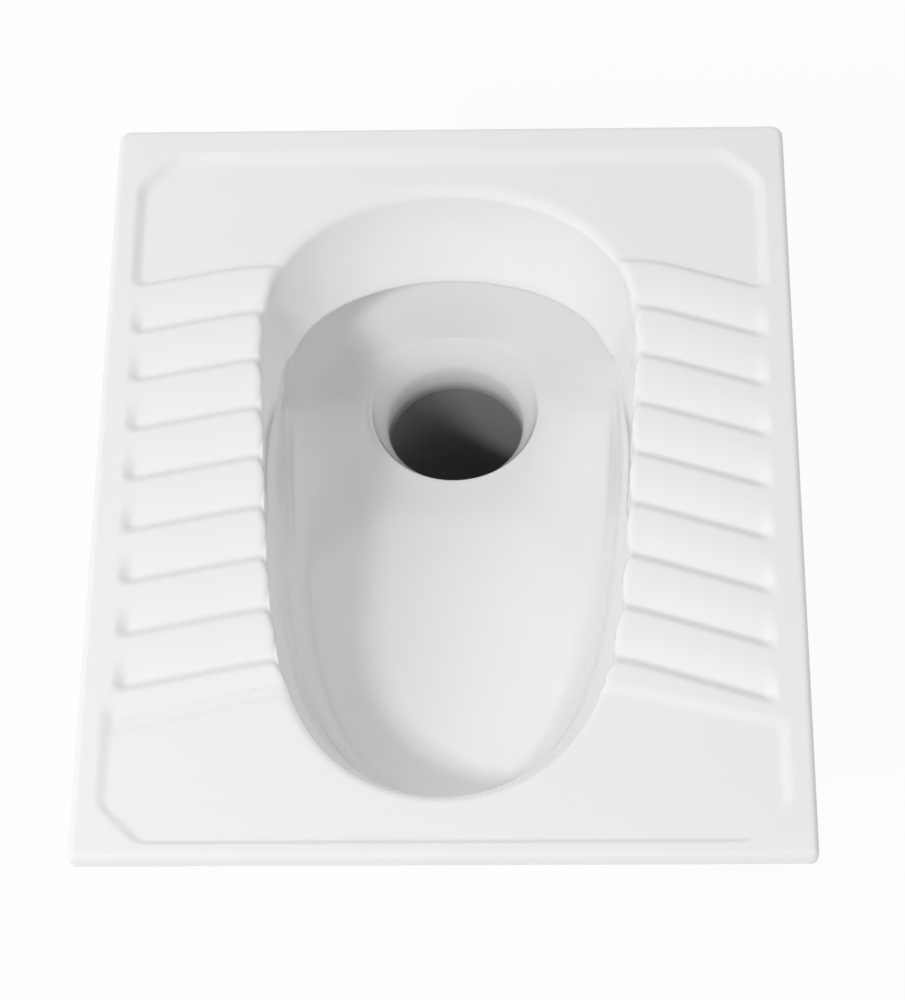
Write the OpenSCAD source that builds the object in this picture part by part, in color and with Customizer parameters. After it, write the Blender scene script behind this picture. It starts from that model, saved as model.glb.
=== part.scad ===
// Squat toilet set into a floor: a glazed china pan, and the plastic trap that hangs under it.
// X runs across the pan, Y runs away from the user's near edge, and Z is up. The origin is the
// middle of the plate, on the plane that the plate's foot beds on. Sizes are in millimetres.

/* [Plate] */
// Width of the plate
plate_w = 450; // [430:5:500]
// Length of the plate
plate_l = 550; // [530:5:620]
// Thickness of the plate
plate_t = 12; // [11:0.5:16]
// Radius along the plate's upper edge
edge_r = 4; // [2:0.5:5]
// Radius of the plate's corners
corner_r = 7; // [6:1:15]
// Height of the skirt below the plate
skirt_h = 16; // [14:1:24]
// How far the skirt leans in from the plate's edge
skirt_lean = 12; // [8:1:14]
// Width of the skirt's foot
foot_w = 10; // [8:1:14]

/* [Treads] */
// Number of treads on each side, with the one that ends the far panel
tread_count = 9; // [6:1:9]
// Distance from one tread to the next
tread_pitch = 37.8; // [34:0.2:38.4]
// Distance from the plate's far edge to the outer end of the first tread
tread_start = 131; // [126:1:136]
// Slant of the treads, in degrees
tread_slant = 17; // [12:0.5:19]
// How many degrees more the right side slants, and the left side less
tread_skew = 2.8; // [0:0.2:4]
// Depth of the groove at a tread's foot
tread_depth = 4; // [2:0.2:5]
// Length of the slope that runs down to the groove
tread_run = 19; // [14:1:24]
// Length of the bank that rises out of the groove
tread_bank = 4; // [3:0.5:6]
// Distance from the plate's side edge to the outer end of the first tread
tread_margin = 14; // [12:1:20]
// How much further in the last tread ends than the first
tread_draw_in = 8; // [0:1:12]

/* [Sunk panels] */
// Depth of the two sunk panels
panel_depth = 3; // [2:0.2:4]
// Width of the bank round a panel
panel_bank = 4; // [3:0.5:6]
// Border between a panel and the plate's side edge
panel_side = 17; // [14:1:22]
// Border between the far panel and the plate's far edge
panel_far = 25; // [20:1:30]
// Border between the near panel and the plate's near edge
panel_near = 13; // [10:1:18]
// Cut corner of a panel
panel_chamfer = 26; // [18:1:32]
// Distance from the plate's near edge to the near panel's inner corner
near_panel_l = 95; // [85:1:100]
// Slant of the near panel's far bank, in degrees
near_panel_slant = 12.5; // [8:0.5:16]

/* [Bowl] */
// Widest width of the opening
open_w = 246; // [230:2:266]
// Length of the opening
open_l = 455; // [430:5:470]
// Distance from the plate's far edge to the opening
far_land = 54; // [50:1:62]
// Distance from the opening's far end to its widest line
open_widest = 126; // [110:2:140]
// How much narrower the opening gets towards the near end, as a share of its width
open_taper = 0.16; // [0.1:0.01:0.22]
// Radius of the opening's edge
open_r = 4; // [2:0.5:5]
// Depth of the outlet's lip below the plate
bowl_depth = 150; // [135:5:180]
// Depth of the floor at the foot of the near wall
near_depth = 80; // [65:5:95]
// Thickness of the bowl's wall
wall = 9; // [8:0.5:12]

/* [Flush rim] */
// How far the rim hangs down at the far end
rim_drop = 62; // [54:1:66]
// How far the plain edge goes straight down where the rim has run out
rim_drop_near = 8; // [6:1:14]
// How far the rim leans in at the far end
rim_lean = 29; // [24:1:34]
// How far the rim leans in at the sides
rim_lean_side = 14; // [10:1:18]
// Distance from the opening's far end to where the rim starts to run out
rim_out_from = 110; // [100:5:130]
// Distance from the opening's far end to where the rim has run out
rim_out_to = 210; // [180:5:240]
// Thickness of the rim's wall
rim_t = 8; // [7:0.5:10]
// Thickness of the rim's floor
rim_floor_t = 7; // [6:0.5:9]
// Depth of the flush channel behind the opening's far edge
channel_far = 16; // [14:1:18]
// Depth of the flush channel behind the opening's side
channel_side = 14; // [10:1:16]
// Diameter of a flush hole
flush_hole_d = 7; // [5:0.5:9]
// Number of flush holes on each side of the middle one
flush_holes = 6; // [3:1:7]

/* [Outlet] */
// Distance from the opening's far end to the outlet's axis
outlet_back = 76; // [72:1:86]
// Diameter of the outlet's lip
lip_d = 122; // [114:2:130]
// Radius of the lip's edge
lip_r = 4; // [2:0.5:6]
// Height of the throat, which narrows from the lip to the bore
throat_h = 21; // [18:1:26]
// Diameter of the outlet's bore
outlet_d = 94; // [86:1:96]
// Outer diameter of the outlet horn
horn_d = 108; // [106:1:110]
// Height of the outlet, from its lip to the horn's end
outlet_h = 47; // [44:1:60]

/* [Flush inlet] */
// How far the inlet horn's top is sunk in the plate's underside
inlet_sink = 2; // [1:0.5:4]
// Diameter of the inlet horn's bore
inlet_d = 40; // [38:1:42]
// Thickness of the inlet horn's wall
inlet_wall = 9; // [7:0.5:10]
// Diameter of the flush pipe that the seal takes
flush_pipe_d = 32; // [28:1:33]
// How far the seal reaches into the horn
inlet_seal_l = 28; // [20:1:30]
// Thickness of the seal's collar
collar_t = 4; // [3:0.5:5]

/* [Trap] */
// Outer diameter of the soil pipe
soil_d = 110; // [106:1:112]
// Thickness of the trap's wall
soil_t = 3.2; // [2.6:0.2:4]
// Bend radius of the trap, on the pipe's axis
trap_r = 68; // [66:1:80]
// Bend radius of the outlet bend, on the pipe's axis
bend_r = 58; // [57:1:64]
// Depth of the soil pipe's axis below the outlet's lip
soil_below = 40; // [38:1:60]
// Length of the outlet's spigot
spigot_l = 80; // [60:5:120]
// How far a pipe goes into a bell
bell_l = 26; // [24:1:30]
// Height of a seal ring
seal_h = 12; // [10:1:14]
// Thickness of a seal ring
seal_t = 6; // [5:0.5:7]
// How far the riser's spigot goes into its bell
riser_bell_l = 40; // [34:1:44]

/* [Cleaning plug] */
// Diameter of the cleaning bore
plug_d = 50; // [40:1:56]
// Thickness of the cleaning boss's wall
boss_t = 6; // [5:0.5:8]
// How far the boss stands out below the trap
boss_h = 9; // [6:1:14]
// Diameter of the plug's head
plug_head_d = 68; // [64:1:76]
// Thickness of the plug's head
plug_head_t = 12; // [8:1:16]
// How far the plug's threaded end reaches into the boss
plug_reach = 12; // [8:1:14]
// Thickness of the plug's washer
washer_t = 2; // [1.5:0.5:3]

/* [Hidden] */
fit = 0.25;            // gap between pieces that sit in each other
stop_gap = 2;          // gap between a pipe's end and the floor of its bell
over = 2;              // how far a cutter runs past the face that it cuts
ring_points = 64;      // points round one section of the bowl
bowl_steps = 11;       // sections of the bowl, from rim to lip
china = "#f2f3f4";
rubber = "#2b2b2c";
plastic = "#57585a";
plug_grey = "#6a6b6d";

plate_top = skirt_h + plate_t;
plate_under = skirt_h;
open_far = plate_l/2 - far_land;
open_near = open_far - open_l;
outlet_y = open_far - outlet_back;
lip_z = plate_top - bowl_depth;
horn_end = lip_z - outlet_h;
horn_r = horn_d/2;
outlet_r = outlet_d/2;
inlet_z = plate_under + inlet_sink - inlet_d/2 - inlet_wall;
inlet_face = plate_l/2 - collar_t;

soil_r = soil_d/2;
bell_gap = 1.5;
bell_floor = horn_end - stop_gap;
bell_top = horn_end + bell_l;
soil_z = lip_z - soil_below;
riser_y = outlet_y - 2*trap_r;
elbow_z = soil_z - bend_r;
riser_floor = elbow_z - stop_gap - riser_bell_l;
riser_bell_top = riser_floor + riser_bell_l;
trap_z = riser_floor - soil_t;
boss_end = trap_z - trap_r - soil_r - boss_h;
boss_y = outlet_y - trap_r;

function mix(a, b, t) = a + (b - a)*t;

// ---- Sections of the bowl -------------------------------------------------------------------

// One level section of the bowl, seen from above: an egg whose far half has length far - mid and
// whose near half has length mid - near and narrows by a share. Each half has its own fullness: 2
// is an ellipse, and more is squarer. The depth runs from the near end to the far end by the power
// sag. swell widens the section where there is a rim, and with_rim leaves its depth to the rim too.
function section(half_w, mid, far, near, narrow, full_far, full_near, deep_far, deep_near, sag = 1,
                 swell = 0, with_rim = false) =
    [for (i = [0:ring_points - 1])
        let (s = sin(360*i/ring_points), t = abs(s),
             side = cos(360*i/ring_points) < 0 ? -1 : 1,
             far_half = s >= 0,
             y = far_half ? mid + (far - mid)*t : mid - (mid - near)*t,
             full = sqrt(1 - pow(t, far_half ? full_far : full_near)),
             x = side*(half_w + swell*rim_share(y))*full*(far_half ? 1 : 1 - narrow*t),
             share = min(1, max(0, (y - near)/(far - near))))
        [x, y, plate_top - mix(deep_near, deep_far, pow(share, sag)*(with_rim ? rim_share(y) : 1))]];

// How much of the rim there is at a place along the plate: 1 round the far end, and 0 near the user
function rim_share(y) =
    let (t = min(1, max(0, (y - open_far + rim_out_to)/(rim_out_to - rim_out_from))))
    t*t*(3 - 2*t);

egg_far = 2.6;        // fullness of the opening's far end
egg_near = 6.3;        // fullness of its near end
rim_sag = 1.6;         // how late the rim's drop grows towards the far end
rim_mid = 8;           // how much nearer the rim's widest line is than the opening's
edge_lean = 2;         // how far the plain edge leans in
widest = open_far - open_widest;

// The opening's outline, moved in by a given amount and down to a given depth
function opening(in, deep) =
    section(open_w/2 - in, widest, open_far - in, open_near + in, open_taper, egg_far, egg_near, deep, deep);

// The rim's lower edge, moved in and down from its place. Past the rim's ends it is the foot of
// the plain edge, and only moves down.
function rim_edge(in, deep) =
    section(open_w/2 - edge_lean, widest - rim_mid, open_far - rim_lean - in,
            open_near + edge_lean, open_taper, egg_far, egg_near,
            rim_drop + deep, rim_drop_near + deep, rim_sag, edge_lean - rim_lean_side - in, true);

// The bowl's wall, from s = 0 behind the rim's edge to s = 1 at the outlet's lip, made out larger
// by a wall's thickness
foot_in = 50;          // how far the foot of the near wall lies in from the opening's near end
foot_share = 0.45;     // where the near wall reaches its foot
foot_ease = 2.6;       // how late the wall's near end moves towards the outlet
round_share = 0.67;    // where the wall's near end has become round
rim_curl = 4;          // depth of the rounding under the rim's edge
function bowl_wall(s, out = 0) =
    let (lip_back = open_l - outlet_back - lip_d/2,
         near_in = mix(edge_lean + 1, lip_back, pow(s, foot_ease)),
         steep = mix(rim_drop_near + rim_curl, near_depth, sin(90*min(1, s/foot_share))),
         ramp = (bowl_depth - near_depth)*max(0, (near_in - foot_in)/(lip_back - foot_in)))
    section(mix(open_w/2 - edge_lean, lip_d/2, 1 - cos(90*s)) + out,
            mix(widest, outlet_y, s*s),
            mix(open_far + channel_far, outlet_y + lip_d/2, sin(90*s)) + out,
            open_near + near_in - out,
            open_taper*(1 - s), mix(egg_far, 2, s), mix(egg_near, 2, sin(90*min(1, s/round_share))),
            mix(rim_drop + rim_curl, bowl_depth, sin(90*s)) + out*s,
            steep + ramp + out*s, mix(rim_sag, 1, s), (channel_side + edge_lean)*(1 - s));

// A round section at the outlet
function outlet_ring(r, deep) = section(r, outlet_y, outlet_y + r, outlet_y - r, 0, 2, 2, deep, deep);

// A closed solid through a stack of sections, from the top one to the bottom one
module loft(rings) {
    n = len(rings[0]);
    last = len(rings) - 1;
    sides = [for (k = [0:last - 1]) for (i = [0:n - 1])
        let (a = k*n + i, b = k*n + (i + 1)%n) each [[a, b, a + n], [b, b + n, a + n]]];
    top = [for (i = [n - 1:-1:0]) i];
    bottom = [for (i = [0:n - 1]) last*n + i];
    polyhedron([for (r = rings) each r], concat(sides, [top, bottom]), convexity = 8);
}

// ---- The pan --------------------------------------------------------------------------------

module plate_outline(in) {
    r = max(1, corner_r - in);
    hull() for (x = [-1, 1], y = [-1, 1])
        translate([x*(plate_w/2 - in - r), y*(plate_l/2 - in - r)]) circle(r, $fn = 32);
}

// The plate, with its rounded upper edge and the skirt that leans in under it
module plate() {
    edge_steps = 3;
    for (i = [0:edge_steps - 1]) hull() for (j = [i, i + 1])
        translate([0, 0, plate_under]) linear_extrude(plate_t - edge_r*(1 - sin(90*j/edge_steps)))
            plate_outline(edge_r*(1 - cos(90*j/edge_steps)));
    difference() {
        hull() {
            translate([0, 0, plate_under]) linear_extrude(0.5) plate_outline(0);
            linear_extrude(0.5) plate_outline(skirt_lean);
        }
        translate([0, 0, -over]) linear_extrude(skirt_h + over) plate_outline(skirt_lean + foot_w);
    }
}

// How far each side's treads climb towards the middle, for each millimetre
function rise(side) = tan(tread_slant + side*tread_skew);

// Half the opening's width at a place along the plate
function open_half(y) =
    let (t = min(1, y > widest ? (y - widest)/(open_far - widest) : (widest - y)/(widest - open_near)))
    open_w/2*sqrt(1 - pow(t, y > widest ? egg_far : egg_near))*(y > widest ? 1 : 1 - open_taper*t);

// One section across a tread's groove. From the far side it runs down a slope, and ends in the
// bank. full shrinks it at the tread's outer end.
function groove_section(x, y, full) =
    let (deep = tread_depth*full)
    [for (p = [[-tread_bank, over], [tread_run, over], [tread_run, 0], [tread_run*0.3, -deep*0.75],
               [2, -deep], [-tread_bank*0.3, -deep*0.9], [-tread_bank, 0]])
        [x, y + p[0], plate_top + p[1]]];

// A tread's groove, from its outer end to past the opening's edge. It runs level for a little at
// both ends.
module groove(side, i) {
    outer = plate_w/2 - tread_margin - tread_draw_in*i/max(1, tread_count - 1);
    y0 = plate_l/2 - tread_start - i*tread_pitch;
    level = 6;
    reach = outer - open_half(y0 + rise(side)*100);
    stations = [[0, 0, 0.3], [3, 0, 0.75], [level, 0, 1], [reach - 3*level, reach - 4*level, 1],
                [reach + 3*level, reach - 3*level, 1]];
    rings = [for (st = stations) groove_section(side*(outer - st[0]), y0 + rise(side)*st[1], st[2])];
    if (side < 0) loft(rings);
    else loft([for (r = rings) [for (k = [len(r) - 1:-1:0]) r[k]]]);
}

// A sunk panel: its floor outline, banked up to the plate's top
module panel(corners) {
    hull() {
        translate([0, 0, plate_top - panel_depth]) linear_extrude(0.05)
            offset(r = 3, $fn = 24) offset(delta = -3 - panel_bank) polygon(corners);
        translate([0, 0, plate_top]) linear_extrude(over)
            offset(r = 5, $fn = 24) offset(delta = -5) polygon(corners);
    }
}

// The far panel's near bank is the first tread, so the panel is made in two halves that overlap in
// the middle. The near panel ends a little before the last tread.
module panels() {
    x = plate_w/2 - panel_side;
    far = plate_l/2 - panel_far;
    near = -plate_l/2 + panel_near;
    slant = tan(near_panel_slant);
    far_end = plate_l/2 - tread_start - tread_bank;
    near_end = -plate_l/2 + near_panel_l;
    mid = 60;              // half the width over which the near panel's far bank runs straight
    overlap = 12;
    for (side = [-1, 1]) panel([[side*x, far_end], [side*x, far - panel_chamfer],
        [side*(x - panel_chamfer), far], [-side*overlap, far],
        [-side*overlap, far_end + rise(side)*(x + overlap)]]);
    panel([[-x, near_end], [-mid, near_end + slant*(x - mid)], [mid, near_end + slant*(x - mid)],
           [x, near_end], [x, near + panel_chamfer], [x - panel_chamfer, near],
           [-x + panel_chamfer, near], [-x, near + panel_chamfer]]);
}

// What is hollow inside the bowl: the opening's rounded edge, the rim's inner face, the wall
// behind and below it, and the outlet
module bowl_hollow() {
    rounding = [for (a = [0:30:90]) opening(-open_r*(1 - sin(a)), open_r*(1 - cos(a)))];
    loft(concat([opening(-open_r, -over)], rounding, [rim_middle],
                [rim_edge(0, 0), rim_edge(-3, rim_curl*0.9)],
                [for (k = [0:bowl_steps - 1]) bowl_wall(k/bowl_steps)],
                [for (a = [0:30:90]) outlet_ring(lip_d/2 - lip_r*sin(a), bowl_depth + lip_r*(1 - cos(a)))],
                [outlet_ring(outlet_r, bowl_depth + throat_h),
                 outlet_ring(outlet_r, bowl_depth + outlet_h + over)]));
}

// The rim's face half way down, a little fuller than straight
rim_middle = let (a = opening(0, open_r), b = rim_edge(0, 0))
    [for (i = [0:ring_points - 1])
        [mix(a[i].x, b[i].x, 0.42), mix(a[i].y, b[i].y, 0.42), mix(a[i].z, b[i].z, 0.5)]];

// The bowl's outside, which holds the rim and the outlet horn
module bowl_shell() {
    loft(concat([for (r = [bowl_wall(0, wall)]) [for (p = r) [p.x, p.y, plate_under + 1]]],
                [for (k = [0:bowl_steps - 1]) bowl_wall(k/bowl_steps, wall)],
                [outlet_ring(lip_d/2 + wall, bowl_depth + wall),
                 outlet_ring(horn_r + 4, bowl_depth + wall + 7),
                 outlet_ring(horn_r, bowl_depth + wall + 11),
                 outlet_ring(horn_r, bowl_depth + outlet_h)]));
}

// The flush channel: the space between the rim's wall and the bowl's, round the far end
module flush_channel() {
    deep = -rim_floor_t + rim_curl;
    channel_near = open_far - rim_out_from - 24;
    intersection() {
        difference() {
            loft([for (z = [0, 1]) z == 0
                ? [for (p = bowl_wall(0)) [p.x, p.y, plate_under]]
                : [for (p = bowl_wall(0)) [p.x, p.y, p.z + rim_floor_t]]]);
            loft([[for (p = opening(-rim_t, 0)) [p.x, p.y, plate_under + 1]],
                  rim_edge(-rim_t, deep - over)]);
        }
        translate([-plate_w/2, channel_near, -plate_l]) cube([plate_w, plate_l, 2*plate_l]);
    }
}

// The row of holes in the rim's floor, spaced along its curve
module flush_hole_row() {
    edge = rim_edge(0, 0);
    outer = bowl_wall(0);
    for (k = [-flush_holes:flush_holes]) {
        i = (ring_points/4 + k*2 + ring_points)%ring_points;
        p = mix(edge[i], outer[i], 0.55);
        translate([p.x, p.y, p.z - 3*rim_floor_t]) cylinder(h = 5*rim_floor_t, d = flush_hole_d, $fn = 16);
    }
}

module inlet_horn(r, from, to) {
    translate([0, to, inlet_z]) rotate([90, 0, 0]) cylinder(h = to - from, r = r, $fn = 48);
}

module pan() {
    channel_end = open_far + channel_far;
    color(china) difference() {
        union() {
            plate();
            bowl_shell();
            inlet_horn(inlet_d/2 + inlet_wall, channel_end, inlet_face);
        }
        bowl_hollow();
        flush_channel();
        flush_hole_row();
        inlet_horn(inlet_d/2, channel_end - 6, inlet_face + over);
        panels();
        for (side = [-1, 1], i = [1:tread_count - 1]) groove(side, i);
    }
}

// ---- The rubber seals -----------------------------------------------------------------------

// The inlet's seal: a sleeve with three ridges that grip the horn, and a collar on its face
module flush_inlet_seal() {
    r = flush_pipe_d/2;
    out = inlet_d/2 - fit;
    ridges = 3;
    step = inlet_seal_l/ridges;
    color(rubber) translate([0, inlet_face + collar_t, inlet_z]) rotate([90, 0, 0]) rotate_extrude($fn = 64)
        polygon(concat([[r, 0], [out + 5, 0], [out + 6, 1], [out + 6, collar_t]],
            [for (k = [0:ridges - 1]) each [[out, collar_t + k*step], [out - 1.2, collar_t + (k + 1)*step]]],
            [[r, collar_t + inlet_seal_l]]));
}

// A lip ring in a bell: its back fills the groove, and its lip leans on the pipe
module lip_ring(pipe_r, groove_r) {
    inside = pipe_r + fit;
    outside = groove_r - fit;
    color(rubber) rotate_extrude($fn = 96)
        polygon([[inside, 0], [inside, seal_h*0.3], [inside + 1.6, seal_h*0.42], [inside, seal_h*0.6],
                 [inside, seal_h*0.75], [inside + 1.6, seal_h], [outside - 1, seal_h], [outside, seal_h - 1],
                 [outside, 1], [outside - 1, 0]]);
}

module outlet_seal() {
    translate([0, outlet_y, seal_place(bell_top)]) lip_ring(horn_r, horn_r + bell_gap + seal_t);
}

module trap_bend_seal() {
    translate([0, riser_y, seal_place(riser_bell_top)]) lip_ring(soil_r, soil_r + bell_gap + seal_t);
}

// ---- The trap -------------------------------------------------------------------------------

bell_lip = 4;          // height of the bell's mouth above the seal's groove
function seal_place(top) = top - bell_lip - seal_h - fit;

// A bell: its body, and what is hollow in it
module bell_body(pipe_r, floor_z, top) {
    r = pipe_r + bell_gap + soil_t;
    groove_z = seal_place(top) - fit;
    translate([0, 0, floor_z - soil_t]) cylinder(h = top - floor_z + soil_t, r = r, $fn = 96);
    translate([0, 0, groove_z - soil_t]) cylinder(h = top - groove_z + soil_t, r = r + seal_t, $fn = 96);
}

module bell_hollow(pipe_r, floor_z, top) {
    groove_z = seal_place(top) - fit;
    translate([0, 0, floor_z]) cylinder(h = top - floor_z + over, r = pipe_r + bell_gap, $fn = 96);
    translate([0, 0, groove_z]) cylinder(h = seal_h + 2*fit, r = pipe_r + bell_gap + seal_t, $fn = 96);
}

// The U bend's half turn and its two legs, as one round bar of radius r
module trap_bar(r) {
    translate([0, boss_y, trap_z]) rotate([0, 90, 0]) rotate([0, 0, -90]) rotate_extrude(angle = 180, $fn = 96)
        translate([trap_r, 0]) circle(r, $fn = 96);
}

module trap_legs(r, past) {
    translate([0, outlet_y, trap_z]) cylinder(h = bell_floor + past - trap_z, r = r, $fn = 96);
    translate([0, riser_y, trap_z]) cylinder(h = riser_floor + past - trap_z, r = r, $fn = 96);
}

module trap_body() {
    inner = soil_r - soil_t;
    color(plastic) difference() {
        union() {
            trap_bar(soil_r);
            trap_legs(soil_r, 0);
            translate([0, outlet_y, 0]) bell_body(horn_r, bell_floor, bell_top);
            translate([0, riser_y, 0]) bell_body(soil_r, riser_floor, riser_bell_top);
            translate([0, boss_y, boss_end]) cylinder(h = boss_h + soil_t + 12, r = plug_d/2 + boss_t, $fn = 64);
        }
        trap_bar(inner);
        trap_legs(inner, over);
        translate([0, outlet_y, 0]) bell_hollow(horn_r, bell_floor, bell_top);
        translate([0, riser_y, 0]) bell_hollow(soil_r, riser_floor, riser_bell_top);
        translate([0, boss_y, boss_end - over]) cylinder(h = boss_h + soil_r, r = plug_d/2, $fn = 64);
    }
}

// The outlet bend: a spigot down into the riser's bell, a quarter turn, and the outlet's spigot
module bend_bar(r, past) {
    translate([0, riser_y, riser_floor + stop_gap - past]) cylinder(h = elbow_z - riser_floor - stop_gap + past, r = r, $fn = 96);
    translate([0, riser_y - bend_r, elbow_z]) rotate([90, 0, 90]) rotate_extrude(angle = 90, $fn = 96)
        translate([bend_r, 0]) circle(r, $fn = 96);
    translate([0, riser_y - bend_r, soil_z]) rotate([90, 0, 0]) cylinder(h = spigot_l + past, r = r, $fn = 96);
}

module outlet_bend() {
    color(plastic) difference() {
        bend_bar(soil_r, 0);
        bend_bar(soil_r - soil_t, over);
    }
}

// ---- The cleaning plug ----------------------------------------------------------------------

module cleaning_plug() {
    key = 24;
    key_h = 8;
    head_z = boss_end - washer_t - plug_head_t;
    color(plug_grey) translate([0, boss_y, 0]) {
        difference() {
            translate([0, 0, head_z]) cylinder(h = plug_head_t, d = plug_head_d, $fn = 64);
            translate([0, 0, head_z - over]) cylinder(h = key_h + over, d = plug_d - 6, $fn = 64);
        }
        translate([-key/2, -key/2, head_z]) cube([key, key, plug_head_t]);
        translate([0, 0, head_z + plug_head_t - 1]) cylinder(h = washer_t + plug_reach + 1, d = plug_d - 2*fit, $fn = 64);
    }
}

module cleaning_plug_seal() {
    color(rubber) translate([0, boss_y, boss_end - washer_t]) difference() {
        cylinder(h = washer_t, r = plug_d/2 + boss_t - fit, $fn = 64);
        translate([0, 0, -over]) cylinder(h = washer_t + 2*over, d = plug_d, $fn = 64);
    }
}

pan();
flush_inlet_seal();
outlet_seal();
trap_body();
trap_bend_seal();
outlet_bend();
cleaning_plug();
cleaning_plug_seal();
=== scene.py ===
"""A china squat toilet set into a floor, with the push-fit trap that hangs under it.

Sizes are in millimetres in each section, and become metres as the meshes are made.
"""
import math

import bmesh
import bpy
import numpy as np
from mathutils import Matrix, Vector


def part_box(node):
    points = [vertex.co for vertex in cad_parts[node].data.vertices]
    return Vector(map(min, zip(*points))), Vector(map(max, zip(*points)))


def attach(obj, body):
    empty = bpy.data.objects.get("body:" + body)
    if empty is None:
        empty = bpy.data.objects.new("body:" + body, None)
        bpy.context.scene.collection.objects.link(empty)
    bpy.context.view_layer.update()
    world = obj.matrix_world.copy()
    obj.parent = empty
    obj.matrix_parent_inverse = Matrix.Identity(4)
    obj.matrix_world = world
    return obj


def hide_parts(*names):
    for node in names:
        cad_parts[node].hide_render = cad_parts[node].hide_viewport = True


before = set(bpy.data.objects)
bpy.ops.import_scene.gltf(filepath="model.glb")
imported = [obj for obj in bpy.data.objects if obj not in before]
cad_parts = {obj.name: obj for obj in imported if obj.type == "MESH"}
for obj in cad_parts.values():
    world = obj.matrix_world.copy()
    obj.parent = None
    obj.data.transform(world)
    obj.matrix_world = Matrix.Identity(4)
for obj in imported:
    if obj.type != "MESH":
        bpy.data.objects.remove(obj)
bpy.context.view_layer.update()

# ---- The pan --------------------------------------------------------------------------------
# One casting of vitreous china, slip-cast in a plaster mould and fired with a white glaze: a
# ribbed plate to stand on, a bowl with a hollow flush rim round its far end, and an outlet horn.
# The glaze is soft on every edge, and the underside, which beds in mortar, is left as biscuit.
PLATE_W, PLATE_L, PLATE_T, SKIRT_H = 450, 550, 12, 16
PLATE_TOP = SKIRT_H + PLATE_T
EDGE_R, FAR_CORNER, NEAR_CORNER = 4, 8, 4.5
SKIRT_LEAN, FOOT_W = 12, 10

LINES, LAST_LINE_BACK = 9, 5
PITCH, FIRST_LINE = {1: 38.9, -1: 38.3}, {1: 129, -1: 123.5}
TREAD_END, TREAD_SLOPE, TREAD_BANK, TREAD_DEPTH = 14, 27, 7.6, 5.2
CLIMB = {1: math.tan(math.radians(18.1)), -1: math.tan(math.radians(12))}
LINE_OUT, LINE_IN, LINE_IN_SLOPE = 210, 122, 0.08
LEVEL_END, LEVEL_ROUND, INNER_ROUND, NOTCH = 7, 8, 20, 1.8

OPEN_W, OPEN_FAR, OPEN_NEAR, OPEN_WIDEST = 246, 221, -234, 95
TAPER, FULL_FAR, FULL_NEAR = 0.16, 2.6, 6.3
RIM_DROP, RIM_DROP_NEAR, RIM_SAG, RIM_LEAN, RIM_LEAN_SIDE, RIM_CURL = 62, 8, 1.6, 29, 14, 4
RIM_FULL, RIM_OUT, EDGE_LEAN = 111, 11, 2
CHANNEL_FAR, CHANNEL_SIDE, CHANNEL_END, CHANNEL_FADE, MERGED = 16, 14, 92, 36, 0.5
BOWL_DEEP, BOWL_NEAR_DEEP, BOWL_FOOT, WALL = 150, 80, 50, 9
OUTLET_Y, LIP_R, LIP_EDGE, BORE_R, HORN_R, HORN_L, THROAT = 145, 61, 4, 47, 54, 47, 21


def mix(a, b, share):
    return a + (b - a) * share


def smoother(a, b, reach, up=True):
    """The larger or smaller of two values, blended where they are closer than reach."""
    near = np.maximum(reach - np.abs(a - b), 0) / reach
    blend = near**3 * reach / 6
    return np.maximum(a, b) + blend if up else np.minimum(a, b) - blend


def climbed(side, out, along):
    """How far a tread line has climbed towards the far side at a distance out from the middle."""
    stop = LINE_OUT - LEVEL_END - (LINE_IN + LINE_IN_SLOPE * along)
    run = smoother(LINE_OUT - LEVEL_END - out, 0.0, LEVEL_ROUND)
    return CLIMB[side] * smoother(run, stop + 0 * run, INNER_ROUND, up=False)


def rim_share(y):
    """How much of the hanging rim there is at y: 1 round the far end, 0 near the user."""
    t = np.clip((y - RIM_OUT) / (RIM_FULL - RIM_OUT), 0, 1)
    return t * t * (3 - 2 * t)


def section(turn, half_w, mid, far, near, narrow, full_far, full_near, deep_far, deep_near, sag=1.0,
            swell=0.0, with_rim=False):
    """A level section of the bowl at the given turns: an egg, with a depth that varies along it."""
    s = np.sin(turn)
    t = np.abs(s)
    side = np.where(np.cos(turn) < 0, -1, 1)
    ahead = s >= 0
    y = np.where(ahead, mid + (far - mid) * t, mid - (mid - near) * t)
    full = np.where(ahead, full_far, full_near)
    x = side * (half_w + swell * rim_share(y)) * np.sqrt(np.maximum(0, 1 - t**full))
    x = x * np.where(ahead, 1, 1 - narrow * t)
    share = np.clip((y - near) / (far - near), 0, 1) ** sag * (rim_share(y) if with_rim else 1)
    return np.stack([x, y, PLATE_TOP - mix(deep_near, deep_far, share)], axis=1)


def opening(turn, inset, deep):
    return section(turn, OPEN_W / 2 - inset, OPEN_WIDEST, OPEN_FAR - inset, OPEN_NEAR + inset,
                   TAPER, FULL_FAR, FULL_NEAR, deep, deep)


def rim_edge(turn, inset, deep):
    return section(turn, OPEN_W / 2 - EDGE_LEAN, OPEN_WIDEST - 8, OPEN_FAR - RIM_LEAN - inset,
                   OPEN_NEAR + EDGE_LEAN, TAPER, FULL_FAR, FULL_NEAR, RIM_DROP + deep,
                   RIM_DROP_NEAR + deep, RIM_SAG, EDGE_LEAN - RIM_LEAN_SIDE - inset, True)


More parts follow.
